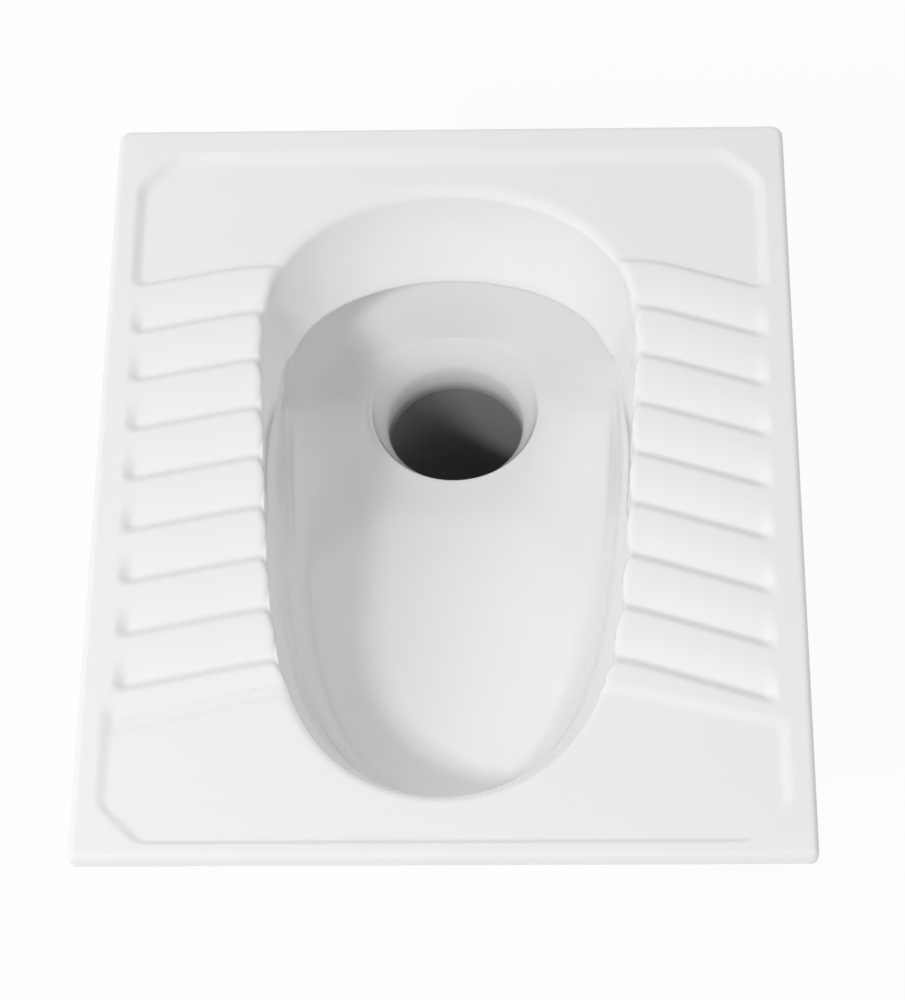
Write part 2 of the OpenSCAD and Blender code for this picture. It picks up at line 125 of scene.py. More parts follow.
def bowl_wall(turn, s, out=0.0, channel=1.0):
    """The bowl's wall, from s = 0 behind the rim to s = 1 at the outlet's lip."""
    lip_back = OUTLET_Y - LIP_R - OPEN_NEAR
    quarter = math.sin(math.pi / 2 * s)
    near_in = mix(EDGE_LEAN + 1, lip_back, s**2.6)
    steep = mix(RIM_DROP_NEAR + RIM_CURL, BOWL_NEAR_DEEP, math.sin(math.pi / 2 * min(1, s / 0.45)))
    ramp = (BOWL_DEEP - BOWL_NEAR_DEEP) * max(0, (near_in - BOWL_FOOT) / (lip_back - BOWL_FOOT))
    return section(
        turn, mix(OPEN_W / 2 - EDGE_LEAN, LIP_R, 1 - math.cos(math.pi / 2 * s)) + out,
        mix(OPEN_WIDEST, OUTLET_Y, s * s), mix(OPEN_FAR + CHANNEL_FAR, OUTLET_Y + LIP_R, quarter) + out,
        OPEN_NEAR + near_in - out, TAPER * (1 - s), mix(FULL_FAR, 2, s),
        mix(FULL_NEAR, 2, math.sin(math.pi / 2 * min(1, 1.5 * s))),
        mix(RIM_DROP + RIM_CURL, BOWL_DEEP, quarter) + out * s, steep + ramp + out * s,
        mix(RIM_SAG, 1, s), (CHANNEL_SIDE + EDGE_LEAN) * (1 - s) * channel)


def outlet_ring(turn, r, deep):
    return section(turn, r, OUTLET_Y, OUTLET_Y + r, OUTLET_Y - r, 0, 2, 2, deep, deep)


# Lines run from the plate's edge to the bowl all the way round. Beside the bowl they follow the
# treads, and they lie closer together there and at the corners of the sunk panels.
BESIDE, BESIDE_FROM, BESIDE_TO, CORNER = 221, -192, 160, 5
beside = np.linspace(BESIDE_FROM, BESIDE_TO, BESIDE)
up_side = np.concatenate([np.linspace(0, 0.5, 8)[1:], np.linspace(0.5, 1, 26)[1:]])
half_end = np.concatenate([np.linspace(0, 0.8, 13)[:-1], np.linspace(0.8, 1, 26)])
across = np.concatenate([-half_end[::-1], half_end[1:]])


def plate_ring(inset):
    """The points where the lines cross a frame that lies inset from the plate's edge."""
    x = PLATE_W / 2 - inset
    far = PLATE_L / 2 - np.interp(inset, (0, 5, 13.5, 36), (0, 5, 18, 37))
    near = -PLATE_L / 2 + np.interp(inset, (0, 5, 13.5, 36), (0, 5, 9, 30))
    points = []
    for side in (1, -1):
        zone = [(side * x, y + float(climbed(side, x, y))) for y in beside[::side]]
        points += zone
        start = np.array(zone[-1])
        end = far if side > 0 else near
        r = max(1.5, (FAR_CORNER if side > 0 else NEAR_CORNER) - inset)
        corner = np.array([side * x, end - side * r])
        points += [tuple(mix(start, corner, t)) for t in up_side]
        angles = [math.pi / 2 * k / (CORNER + 1) for k in range(1, CORNER + 1)]
        arc = [(x - r + r * math.cos(a), end - side * (r - r * math.sin(a))) for a in angles]
        points += [(side * out, y) for out, y in arc]
        points += [(-side * t * (x - r), end) for t in across]
        points += [(-side * out, y) for out, y in arc[::-1]]
        other = beside[-1] if side > 0 else beside[0]
        finish = np.array([-side * x, other + float(climbed(-side, x, other))])
        corner = np.array([-side * x, end - side * r])
        points += [tuple(mix(finish, corner, t)) for t in up_side[::-1]]
    return np.array(points)


def edge_round(turn):
    """The radius of the opening's soft edge, which is rounder at the far end."""
    return 5 + 6 * np.maximum(0, np.sin(turn)) ** 2


def turns_of_lines():
    """Where each line meets the opening, as a turn round it."""
    def turn_at(side, y_out):
        turn = 0.0
        for _ in range(60):
            soft = float(edge_round(turn))
            x, y, _z = opening(np.array([turn]), -soft, 0)[0]
            goal = y_out + float(climbed(side, abs(x), y_out))
            far, near = OPEN_FAR + soft, OPEN_NEAR - soft
            if goal > OPEN_WIDEST:
                turn = math.asin(min(1, (goal - OPEN_WIDEST) / (far - OPEN_WIDEST)))
            else:
                turn = -math.asin(min(1, (OPEN_WIDEST - goal) / (OPEN_WIDEST - near)))
        return turn if side > 0 else math.pi - turn

    def even(a, b, count):
        """Turns from a to b, evenly spaced along the opening's edge."""
        fine = np.linspace(a, b, 2000)
        steps = np.linalg.norm(np.diff(opening(fine, 0, 0)[:, :2], axis=0), axis=1)
        way = np.concatenate([[0], np.cumsum(steps)])
        return np.interp(np.linspace(0, way[-1], count + 2)[1:-1], way, fine)

    right = np.array([turn_at(1, y) for y in beside])
    left = np.array([turn_at(-1, y) for y in beside[::-1]])
    between = len(plate_ring(30)) // 2 - BESIDE
    return np.concatenate([right, even(right[-1], left[0], between),
                           left, even(left[-1], right[0] + 2 * math.pi, between)])


turns = turns_of_lines()


def raised(points, z):
    return np.column_stack([points, np.full(len(points), z)])


# The rings of the casting, in order: up the skirt, over the plate, down into the bowl, out through
# the horn, and back under the bowl to the skirt. Each has its share of relief and of glaze, and of
# the notches that the treads leave in the opening's edge.
rings = []


def add_ring(points, relief=0.0, glaze=1.0, every=1, notch=0.0):
    rings.append((points[::every], relief, glaze, notch))


quarter_turn = [math.pi / 2 * k / 5 for k in range(6)]
add_ring(raised(plate_ring(SKIRT_LEAN), 0), 0, 0.0, 4)
add_ring(raised(plate_ring(SKIRT_LEAN - 0.8), 1.2), 0, 0.4, 4)
for share in (0.3, 0.6, 0.9):
    add_ring(raised(plate_ring(mix(SKIRT_LEAN, 0, share)), SKIRT_H * share), 0, 1, 4)
add_ring(raised(plate_ring(0.1), SKIRT_H + 0.6), 0, 1, 2)
add_ring(raised(plate_ring(0), SKIRT_H + 2))
for a in quarter_turn:
    add_ring(raised(plate_ring(EDGE_R * (1 - math.cos(a))), PLATE_TOP - EDGE_R * (1 - math.sin(a))))
for inset in (5, 8, 11, 12.5, *np.arange(13.5, 23, 0.9), 23.5, 25, 27, 29, 31, 33.5):
    add_ring(raised(plate_ring(inset), PLATE_TOP), 1)
round_r = edge_round(turns)
outer_ring, inner_ring = plate_ring(36), opening(turns, -round_r, 0)[:, :2]
line_side = np.where(np.arange(len(turns)) < len(turns) // 2, 1, -1)
is_beside = np.zeros(len(turns), bool)
is_beside[:BESIDE] = is_beside[len(turns) // 2:len(turns) // 2 + BESIDE] = True
line_out = np.concatenate([beside, np.zeros(len(turns) // 2 - BESIDE), beside[::-1],
                           np.zeros(len(turns) // 2 - BESIDE)])
TOP_STEPS, FADE_LINES = 20, 18
for k in range(TOP_STEPS):
    share = 1 - (1 - k / TOP_STEPS) ** 1.35
    ring = mix(outer_ring, inner_ring, share)
    for side in (1, -1):
        on = is_beside & (line_side == side)
        bend = line_out[on] + climbed(side, np.abs(ring[on, 0]), line_out[on]) - ring[on, 1]
        ring[on, 1] += bend
        for at, step in ((np.flatnonzero(on)[-1], 1), (np.flatnonzero(on)[0], -1)):
            bend_here = bend[-1] if step > 0 else bend[0]
            for j in range(1, FADE_LINES):
                ring[(at + step * j) % len(ring), 1] += bend_here * (1 - j / FADE_LINES) ** 2
    add_ring(raised(ring, PLATE_TOP), 1)
for a in quarter_turn:
    add_ring(opening(turns, -round_r * (1 - math.sin(a)), round_r * (1 - math.cos(a))), math.cos(a),
             notch=0.4 + 0.6 * math.sin(2 * a) - 0.25 * math.sin(a))
edge_end = len(rings) - 1
rim_top, rim_foot = opening(turns, 0, round_r), rim_edge(turns, 0, -1)
for t in (0.08, 0.18, 0.32, 0.5, 0.68, 0.84, 0.94, 1.0):
    face = mix(rim_top, rim_foot, t)
    face[:, :2] = mix(rim_top[:, :2], rim_foot[:, :2], t**1.25)
    add_ring(face, notch=0.15 * (1 - t))

# The rim stands clear of the bowl's wall round the far end, over the flush channel. Where the
# channel ends, the wall comes forward to the rim's foot and carries on from it, and the joint is
# sponged smooth.
BOWL_STEPS, LIP_STEPS, SPONGE_PASSES = 44, 9, 30
open_share = np.clip((rim_foot[:, 1] - CHANNEL_END) / CHANNEL_FADE, 0, 1)
open_share = (open_share * open_share * (3 - 2 * open_share))[:, None]
merge_at = bowl_wall(turns, MERGED, channel=0)
merge_step = LIP_STEPS + MERGED * BOWL_STEPS


def add_wall_ring(step, points):
    """Adds a ring behind the rim, and brings it forward where the rim has no channel."""
    closed = bowl_wall(turns, max(0, step - LIP_STEPS) / BOWL_STEPS, channel=0)
    if step < merge_step:
        t = step / merge_step
        closed = mix(mix(rim_foot, merge_at, t), closed, t * t * (3 - 2 * t))
    add_ring(mix(closed, points, open_share))


for k, (inset, deep) in enumerate(((0.5, 0.8), (0.5, 2.0), (-0.4, 3.0), (-2, 3.6))):
    add_wall_ring(0.4 * k + 0.4, rim_edge(turns, inset, deep))
rim_back, wall_top = rim_edge(turns, -5, RIM_CURL), bowl_wall(turns, 0)
for k, share in enumerate((0, 0.25, 0.5, 0.75, 0.93)):
    add_wall_ring(2.5 + 1.3 * k, mix(rim_back, wall_top, share))
for k in range(BOWL_STEPS):
    add_wall_ring(LIP_STEPS + k, bowl_wall(turns, k / BOWL_STEPS))
sponged = 0.5 * (1 - open_share)
for _ in range(SPONGE_PASSES):
    for k in range(edge_end - len(rings), -6):
        between = (rings[k - 1][0] + rings[k + 1][0]) / 2
        rings[k] = (mix(rings[k][0], between, sponged), *rings[k][1:])
for k in range(-BOWL_STEPS - 5, 0):
    rings[k] = (rings[k][0][::2], *rings[k][1:])

# The outlet's lip is rounded at its near side, and a plain funnel at its far side. Below it the
# throat narrows to the bore. The horn's end, the bowl's back and the plate's underside are clay.
crest = np.clip((0.85 - np.sin(turns)) / 1.2, 0, 1)
crest = crest * crest * (3 - 2 * crest)
for k in range(7):
    a = math.pi / 2 * k / 6
    add_ring(outlet_ring(turns, LIP_R - LIP_EDGE * mix(k / 6, math.sin(a), crest),
                         BOWL_DEEP + LIP_EDGE * mix(1.3 * k / 6, 1 - math.cos(a), crest)), every=2)
for r, deep in ((54, 9), (51, 14), (48.5, 18), (BORE_R, THROAT + 1), (BORE_R, 34),
                (BORE_R, HORN_L - 1.5)):
    add_ring(outlet_ring(turns, r, BOWL_DEEP + deep), every=2)
add_ring(outlet_ring(turns, BORE_R + 1.5, BOWL_DEEP + HORN_L), 0, 0.5, 2)
add_ring(outlet_ring(turns, HORN_R - 1.5, BOWL_DEEP + HORN_L), 0, 0, 4)
for deep in (HORN_L - 1.5, 34, 21):
    add_ring(outlet_ring(turns, HORN_R, BOWL_DEEP + deep), 0, 0, 4)
add_ring(outlet_ring(turns, HORN_R + 4, BOWL_DEEP + WALL + 7), 0, 0, 4)
add_ring(outlet_ring(turns, LIP_R + WALL, BOWL_DEEP + WALL), 0, 0, 4)
for k in range(21, 0, -1):
    add_ring(bowl_wall(turns, k / 22, WALL), 0, 0, 4)
under = bowl_wall(turns, 0, WALL)[:, :2]
for z in (-2, SKIRT_H - 8):
    ring = raised(under, z)
    ring[:, 2] = np.maximum(ring[:, 2], bowl_wall(turns, 0.03, WALL)[:, 2] + 1)
    add_ring(ring, 0, 0, 4)
for a in (0.3, 0.8, 1.3):
    out = 6 * (1 - math.cos(a))
    add_ring(raised(bowl_wall(turns, 0, WALL + out)[:, :2], SKIRT_H - 6 * (1 - math.sin(a))), 0, 0, 4)
add_ring(raised(plate_ring(SKIRT_LEAN + FOOT_W + 2), SKIRT_H), 0, 0, 4)
add_ring(raised(plate_ring(SKIRT_LEAN + FOOT_W), SKIRT_H - 2), 0, 0, 4)
add_ring(raised(plate_ring(SKIRT_LEAN + FOOT_W), 1), 0, 0, 4)
add_ring(raised(plate_ring(SKIRT_LEAN + FOOT_W - 1), 0), 0, 0, 4)


def bridge(a, b, a_start, b_start):
    """Faces between two rings, of which one may have twice the points of the other."""
    if a == b:
        return [(a_start + i, a_start + (i + 1) % a, b_start + (i + 1) % b, b_start + i)
                for i in range(a)]
    if a == 2 * b:
        return [(a_start + 2 * i, a_start + 2 * i + 1, a_start + (2 * i + 2) % a,
                 b_start + (i + 1) % b, b_start + i) for i in range(b)]
    return [(a_start + i, a_start + (i + 1) % a, b_start + (2 * i + 2) % b,
             b_start + 2 * i + 1, b_start + 2 * i) for i in range(a)]


def object_of(name, points, faces, crease=None):
    """An object from points in millimetres, with its faces outwards, and sharp past a crease angle."""
    mesh = bpy.data.meshes.new(name)
    mesh.from_pydata((np.asarray(points) * 0.001).tolist(), [], faces)
    shell = bmesh.new()
    shell.from_mesh(mesh)
    if shell.calc_volume(signed=True) < 0:
        bmesh.ops.reverse_faces(shell, faces=shell.faces)
    shell.to_mesh(mesh)
    shell.free()
    mesh.polygons.foreach_set("use_smooth", [True] * len(mesh.polygons))
    if crease:
        mesh.set_sharp_from_angle(angle=math.radians(crease))
    mesh.update()
    piece = bpy.data.objects.new(name, mesh)
    bpy.context.scene.collection.objects.link(piece)
    return piece


starts = np.cumsum([0] + [len(r[0]) for r in rings])
faces = []
for k, ring in enumerate(rings):
    after = (k + 1) % len(rings)
    faces += bridge(len(ring[0]), len(rings[after][0]), int(starts[k]), int(starts[after]))
pan = object_of("china_pan", np.concatenate([r[0] for r in rings]), faces)
for name, slot in (("relief", 1), ("glazed", 2), ("notch", 3)):
    values = np.concatenate([np.full(len(r[0]), float(r[slot])) for r in rings])
    pan.data.attributes.new(name, "FLOAT", "POINT").data.foreach_set("value", values)


class Wire:
    """A node's output. Arithmetic on it adds the Math node that it asks for."""

    def __init__(self, tree, socket):
        self.tree, self.socket = tree, socket

    def math(self, operation, *others):
        return self.tree.node("ShaderNodeMath", {"operation": operation}, self, *others)

    def __add__(self, other):
        return self.math("ADD", other)

    def __sub__(self, other):
        return self.math("SUBTRACT", other)

    def __rsub__(self, other):
        return self.math("MULTIPLY", -1.0).math("ADD", other)

    def __mul__(self, other):
        return self.math("MULTIPLY", other)

    def __truediv__(self, other):
        return self.math("DIVIDE", other)

    def __pow__(self, other):
        return self.math("POWER", other)

    __radd__, __rmul__ = __add__, __mul__

    def above(self, low, high):
        """0 below low and 1 above high, with a smooth rise between."""
        return self.tree.node("ShaderNodeMapRange", {"interpolation_type": "SMOOTHSTEP"},
                              self, low, high, 0.0, 1.0)


class Tree:
    """A node tree that is written as expressions."""

    def __init__(self, tree):
        self.tree = tree

    def raw(self, kind, settings=None, *values, **named):
        """A node, with its settings and then the values or wires of its sockets."""
        node = self.tree.nodes.new(kind)
        for key, value in (settings or {}).items():
            setattr(node, key, value)
        for key, value in [*enumerate(values), *named.items()]:
            socket = node.inputs[key.replace("_", " ") if isinstance(key, str) else key]
            if isinstance(value, Wire):
                self.tree.links.new(value.socket, socket)
            elif value is not None:
                socket.default_value = value
        return node

    def node(self, kind, settings=None, *values, **named):
        """The first output of such a node."""
        return Wire(self, self.raw(kind, settings, *values, **named).outputs[0])

    def blend(self, a, b, share):
        """Two colours mixed by a share."""
        node = self.raw("ShaderNodeMix", {"data_type": "RGBA"}, share)
        for socket, value in ((node.inputs[6], a), (node.inputs[7], b)):
            if isinstance(value, Wire):
                self.tree.links.new(value.socket, socket)
            else:
                socket.default_value = (*value, 1)
        return Wire(self, node.outputs[2])


def shaping(name, sizes, material):
    """A Geometry Nodes tree with named sizes, and its wires: the geometry first, then each size."""
    tree = bpy.data.node_groups.new(name, "GeometryNodeTree")
    tree.interface.new_socket("Geometry", in_out="INPUT", socket_type="NodeSocketGeometry")
    tree.interface.new_socket("Geometry", in_out="OUTPUT", socket_type="NodeSocketGeometry")
    for size, value in sizes.items():
        kind = "NodeSocketInt" if isinstance(value, int) else "NodeSocketFloat"
        tree.interface.new_socket(size, in_out="INPUT", socket_type=kind).default_value = value
    shape = Tree(tree)
    start = shape.raw("NodeGroupInput")
    wires = [Wire(shape, socket) for socket in start.outputs[:len(sizes) + 1]]
    shape.material = material
    return shape, wires


def shaped(piece, shape, result, sizes):
    """Ends a tree, runs it on a piece with its sizes, and keeps the result as a plain mesh."""
    done = shape.node("GeometryNodeRealizeInstances", {}, result)
    done = shape.node("GeometryNodeSetMaterial", {}, done, Material=shape.material)
    shape.raw("NodeGroupOutput", {}, done)
    modifier = piece.modifiers.new(shape.tree.name, "NODES")
    modifier.node_group = shape.tree
    for item in shape.tree.interface.items_tree:
        if item.in_out == "INPUT" and item.name in sizes:
            modifier[item.identifier] = sizes[item.name]
    bpy.context.view_layer.update()
    ready = piece.evaluated_get(bpy.context.evaluated_depsgraph_get())
    mesh = bpy.data.meshes.new_from_object(ready)
    piece.modifiers.clear()
    old, piece.data = piece.data, mesh
    bpy.data.meshes.remove(old)
    return piece


def finish_of(name, colour, roughness, **fixed):
    """A material with one Principled shader, and the tree and shader to build on."""
    material = bpy.data.materials.new(name)
    material.use_nodes = True
    material.diffuse_color = (*colour, 1)
    shader = material.node_tree.nodes["Principled BSDF"]
    shader.inputs["Base Color"].default_value = (*colour, 1)
    shader.inputs["Roughness"].default_value = roughness
    for key, value in fixed.items():
        shader.inputs[key.replace("_", " ")].default_value = value
    look = Tree(material.node_tree)
    look.place = Wire(look, look.raw("ShaderNodeTexCoord").outputs["Object"])
    look.shader = shader
    return material, look


def feed(look, name, wire):
    look.tree.links.new(wire.socket, look.shader.inputs[name])


def noise(look, scale, detail=2.0, rough=0.5, stretch=None):
    place = look.place
    if stretch:
        place = look.node("ShaderNodeMapping", {}, place, Scale=stretch)
    return look.node("ShaderNodeTexNoise", {}, place, Scale=scale, Detail=detail, Roughness=rough)


# The glaze: a hard, clear gloss over white china, with a faint orange peel and a few pinholes. It
# stops short of the underside, which shows the fired clay, with the brush marks of its wiping.
china, look = finish_of("white_glaze", (0.88, 0.885, 0.89), 0.12, Coat_Weight=0.25,
                        Coat_Roughness=0.04, Specular_IOR_Level=0.5)
glazed = Wire(look, look.raw("ShaderNodeAttribute", {"attribute_name": "glazed"}).outputs["Fac"])
ragged = (glazed + (noise(look, 60.0, 3.0) - 0.5) * 0.5).above(0.42, 0.58)
cloud = noise(look, 9.0, 3.0)
white = look.blend((0.875, 0.882, 0.89), (0.905, 0.907, 0.908), cloud)
speck = look.node("ShaderNodeTexVoronoi", {}, look.place, Scale=55.0)
pinhole = 1.0 - speck.above(0.03, 0.05)
white = look.blend(white, (0.62, 0.6, 0.56), pinhole * noise(look, 20.0).above(0.6, 0.66) * 0.4)
clay = look.blend((0.72, 0.69, 0.63), (0.58, 0.55, 0.5), noise(look, 26.0, 5.0, 0.6, (1, 0.25, 1)))
feed(look, "Base Color", look.blend(clay, white, ragged))
feed(look, "Roughness", 0.62 - ragged * 0.52 + cloud * 0.04)
feed(look, "Coat Weight", ragged * 0.25)
peel = noise(look, 130.0, 2.0) * ragged * 0.6 + noise(look, 900.0, 3.0) * (1.0 - ragged)
feed(look, "Normal", look.node("ShaderNodeBump", {}, Strength=0.12, Distance=0.0004, Height=peel))

# The treads and the sunk panels are pressed in the plate by one rule. Each tread line has a slope
# that runs down to it from the far side, and a short bank that rises out of it. On the left side a
# shallow fold marks the near panel's far bank.
FOLD_SLOPE, FOLD_BANK, FOLD_DEPTH, PANEL_BLEND = 14, 10, 3.2, 9
mm = 0.001
sizes = {
    "Lines": LINES, "Right pitch": PITCH[1] * mm, "Left pitch": PITCH[-1] * mm,
    "Right first": (PLATE_L / 2 - FIRST_LINE[1]) * mm, "Left first": (PLATE_L / 2 - FIRST_LINE[-1]) * mm,
    "Right climb": CLIMB[1], "Left climb": CLIMB[-1], "Slope": TREAD_SLOPE * mm,
    "Bank": TREAD_BANK * mm, "Depth": TREAD_DEPTH * mm, "Outer end": (PLATE_W / 2 - TREAD_END) * mm,
    "Draw in": LAST_LINE_BACK * mm, "End bank": 10 * mm, "Panel depth": 3.8 * mm, "Panel bank": 9 * mm,
    "Panel side": (PLATE_W / 2 - 13) * mm, "Panel far": (PLATE_L / 2 - 18) * mm,
    "Panel near": (-PLATE_L / 2 + 8.5) * mm, "Panel corner": 27 * mm,
    "Near panel end": (-PLATE_L / 2 + 95) * mm, "Notch": NOTCH * mm,
}
shape, wires = shaping("foot_treads", sizes, china)
(base, lines, right_pitch, left_pitch, right_first, left_first, right, left, slope, bank, depth,
 outer, draw_in, end_bank, panel_depth, panel_bank, panel_side, panel_far, panel_near, panel_corner,
 near_end, notch_in) = wires
place = shape.raw("ShaderNodeSeparateXYZ", {}, shape.node("GeometryNodeInputPosition"))
x, y = Wire(shape, place.outputs[0]), Wire(shape, place.outputs[1])
out = x.math("ABSOLUTE")
is_right = x.math("GREATER_THAN", 0.0)
climb = left + (right - left) * is_right
pitch = left_pitch + (right_pitch - left_pitch) * is_right
stop = (LINE_OUT - LEVEL_END - LINE_IN) * mm - y * LINE_IN_SLOPE
run = ((LINE_OUT - LEVEL_END) * mm - out).math("SMOOTH_MAX", 0.0, LEVEL_ROUND * mm)
run = run.math("SMOOTH_MIN", stop, INNER_ROUND * mm)
line0 = left_first + (right_first - left_first) * is_right + climb * run
count = (line0 - y) / pitch
number = (count - bank / pitch).math("CEIL").math("MAXIMUM", 0.0).math("MINIMUM", lines - 1.0)
behind = (number - count) * pitch
down = (1.0 - behind / slope).math("MAXIMUM", 0.0).math("MINIMUM", 1.0) ** 2.2
rise = (1.0 + behind / bank).math("SMOOTH_MIN", 1.0, 0.3).math("SMOOTH_MAX", 0.0, 0.3)
end = (outer - draw_in * number / (lines - 1.0) - out).above(0.0, end_bank)
lowest = panel_depth + (depth - panel_depth) * number.math("MINIMUM", 1.0)
tread = (depth * down * rise).math("MINIMUM", lowest) * end


def panel(distances):
    """The depth of a panel, from the distances to its sides, which are less than 0 outside it."""
    least = distances[0]
    for distance in distances[1:]:
        least = least.math("SMOOTH_MIN", distance, PANEL_BLEND * mm)
    return least.above(0.0, panel_bank) * panel_depth


far_panel = panel([panel_side - out, (panel_far - y) * 0.7,
                   (panel_side + panel_far - panel_corner - out - y) * 0.7071,
                   (y - line0 + bank) * 1.05])
near_line = near_end + (left + right) * 0.48 * run
near_panel = panel([panel_side - out, (y - panel_near) * 2.0,
                    panel_side - panel_near - panel_corner - out + y, near_line - y]) * 0.6
fold_slope = ((y - near_line) / (FOLD_SLOPE * mm)).math("MAXIMUM", 0.0)
fold_bank = ((near_line - y) / (FOLD_BANK * mm)).math("MAXIMUM", 0.0)
fold = (1.0 - fold_slope - fold_bank).math("SMOOTH_MAX", 0.0, 0.3)
fold = fold * (panel_side - out).above(0.0, end_bank) * (1.0 - is_right) * (FOLD_DEPTH * mm)
sunk = tread.math("MAXIMUM", far_panel).math("MAXIMUM", near_panel + fold)
relief = shape.node("GeometryNodeInputNamedAttribute", {"data_type": "FLOAT"}, "relief")
notch = shape.node("GeometryNodeInputNamedAttribute", {"data_type": "FLOAT"}, "notch")
wave = (count * (2 * math.pi)).math("COSINE") * count.above(0.4, 0.7) * (lines - count).above(0.4, 0.7)
move = shape.node("ShaderNodeCombineXYZ", {}, x.math("SIGN") * wave * notch * notch_in, 0.0,
                  sunk * relief * -1.0)
result = shape.node("GeometryNodeSetPosition", {}, base, Offset=move)
shaped(pan, shape, result, sizes)

# Water comes in by a horn behind the bowl and runs round inside the rim to a row of holes in the
# rim's floor. The horn is stuck on before firing, and the bore and the holes are cut in wet clay.
INLET_R, INLET_BORE, INLET_Z, INLET_FACE = 29, 20, -11, 271
HOLES_EACH_SIDE, HOLE_D, HORN_SIDES = 6, 7, 64


def stacked_faces(rows, n):
    """The faces of a closed stack of rings of n points, with flat ends."""
    sides = [(k * n + i, k * n + (i + 1) % n, (k + 1) * n + (i + 1) % n, (k + 1) * n + i)
             for k in range(rows - 1) for i in range(n)]
    return [*sides, tuple(range(n - 1, -1, -1)), tuple(range((rows - 1) * n, rows * n))]


horn_points = []
horn_rows = [(232, 0.01), (232, 30), (240, 34.5), (246, 34), (248.5, 32), (251.5, 30.3), (255, 29.3),
             (259, INLET_R), (INLET_FACE - 1.5, INLET_R), (INLET_FACE - 0.4, INLET_R - 0.5),
             (INLET_FACE, INLET_R - 1.6), (INLET_FACE, 0.01)]
for y, r in horn_rows:
    horn_points += [(r * math.cos(a), y, INLET_Z + r * math.sin(a))
                    for a in np.linspace(0, 2 * math.pi, HORN_SIDES + 1)[:-1]]
horn = object_of("inlet_horn", horn_points, stacked_faces(len(horn_rows), HORN_SIDES))

sizes = {
    "Each side": HOLES_EACH_SIDE, "Step": math.radians(11.25), "Hole radius": HOLE_D / 2 * mm,
    "Row half width": 124.4 * mm, "Row middle": 91.4 * mm, "Row far": 216.75 * mm,
    "Hole level": -31 * mm, "Hole length": 30 * mm, "Bore radius": INLET_BORE * mm,
    "Bore middle": 250 * mm, "Bore level": INLET_Z * mm, "Bore length": 48 * mm,
}
shape, wires = shaping("flush_ways", sizes, china)
(base, each_side, step, hole_r, half_row, row_middle, row_far, hole_level, hole_l, bore_r, bore_middle,
 bore_level, bore_l) = wires
turn = math.pi / 2 + (shape.node("GeometryNodeInputIndex") - each_side) * step
far_share = turn.math("SINE")
row_x = (1.0 - far_share ** FULL_FAR).math("MAXIMUM", 0.0).math("SQRT")
row_x = row_x * half_row * turn.math("COSINE").math("SIGN")
row = shape.node("ShaderNodeCombineXYZ", {}, row_x, row_middle + (row_far - row_middle) * far_share,
                 hole_level)
marks = shape.node("GeometryNodeMeshLine", {}, Count=each_side * 2.0 + 1.0)
row = shape.node("GeometryNodeSetPosition", {}, marks, Position=row)
drill = shape.raw("GeometryNodeMeshCylinder", {}, 20, 1, 1, hole_r, hole_l)
drills = shape.node("GeometryNodeInstanceOnPoints", {}, row, Instance=Wire(shape, drill.outputs[0]))
drills = shape.node("GeometryNodeRealizeInstances", {}, drills)
borer = shape.raw("GeometryNodeMeshCylinder", {}, 64, 1, 1, bore_r, bore_l)
borer = shape.node("GeometryNodeTransform", {}, Wire(shape, borer.outputs[0]),
                   Rotation=(math.pi / 2, 0, 0),
                   Translation=shape.node("ShaderNodeCombineXYZ", {}, 0.0, bore_middle, bore_level))
stuck_on = shape.raw("GeometryNodeObjectInfo", {}, horn)
whole = shape.raw("GeometryNodeMeshBoolean", {"operation": "UNION", "solver": "MANIFOLD"})
for wire in (base, Wire(shape, stuck_on.outputs["Geometry"])):
    shape.tree.links.new(wire.socket, whole.inputs["Mesh 2"])
cut = shape.raw("GeometryNodeMeshBoolean", {"operation": "DIFFERENCE", "solver": "MANIFOLD"},
                Wire(shape, whole.outputs[0]))
for wire in (drills, borer):
    shape.tree.links.new(wire.socket, cut.inputs["Mesh 2"])
shaped(pan, shape, Wire(shape, cut.outputs[0]), sizes)
bpy.data.objects.remove(horn)
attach(pan, "root")
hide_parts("pan")

# ---- The rubber seals -----------------------------------------------------------------------
# Moulded rings of black rubber. Two of them lie in the grooves of the trap's bells and lean a soft
# lip on the pipe, and one is a ridged sleeve that is pushed into the pan's inlet for the flush pipe.
HORN_END = PLATE_TOP - BOWL_DEEP - HORN_L
SOIL_R, SOIL_T, BELL_GAP, BELL_DEEP, BELL_LIP = 55, 3.2, 1.5, 26, 4
SEAL_H, SEAL_T, FIT = 12, 6, 0.25
BELL_TOP, RISER_BELL_TOP, RISER_Y = HORN_END + BELL_DEEP, -222, 9


def looped_faces(rows, n):
    """The faces of rings of n points, of which the last joins the first."""
    return [(k * n + i, k * n + (i + 1) % n, (k + 1) % rows * n + (i + 1) % n, (k + 1) % rows * n + i)
            for k in range(rows) for i in range(n)]


def turned(profile, place, along_y=False, steps=96):
    """Points and faces of a closed profile, as pairs of radius and height, turned about its axis."""
    angles = np.linspace(0, 2 * math.pi, steps, endpoint=False)
    r, h = np.array(profile, float).T
    x = np.outer(np.cos(angles), r)
    y = np.outer(np.sin(angles), r)
    z = np.broadcast_to(h, x.shape)
    points = np.stack([x, z, y] if along_y else [x, y, z], axis=2).reshape(-1, 3) + place
    return points, looped_faces(steps, len(profile))


def joined(*shells):
    """Several closed shells as one list of points and one of faces."""
    points, faces, start = [], [], 0
    for shell_points, shell_faces in shells:
        points.append(np.asarray(shell_points, float))
        faces += [tuple(start + i for i in face) for face in shell_faces]
        start += len(shell_points)
    return np.concatenate(points), faces


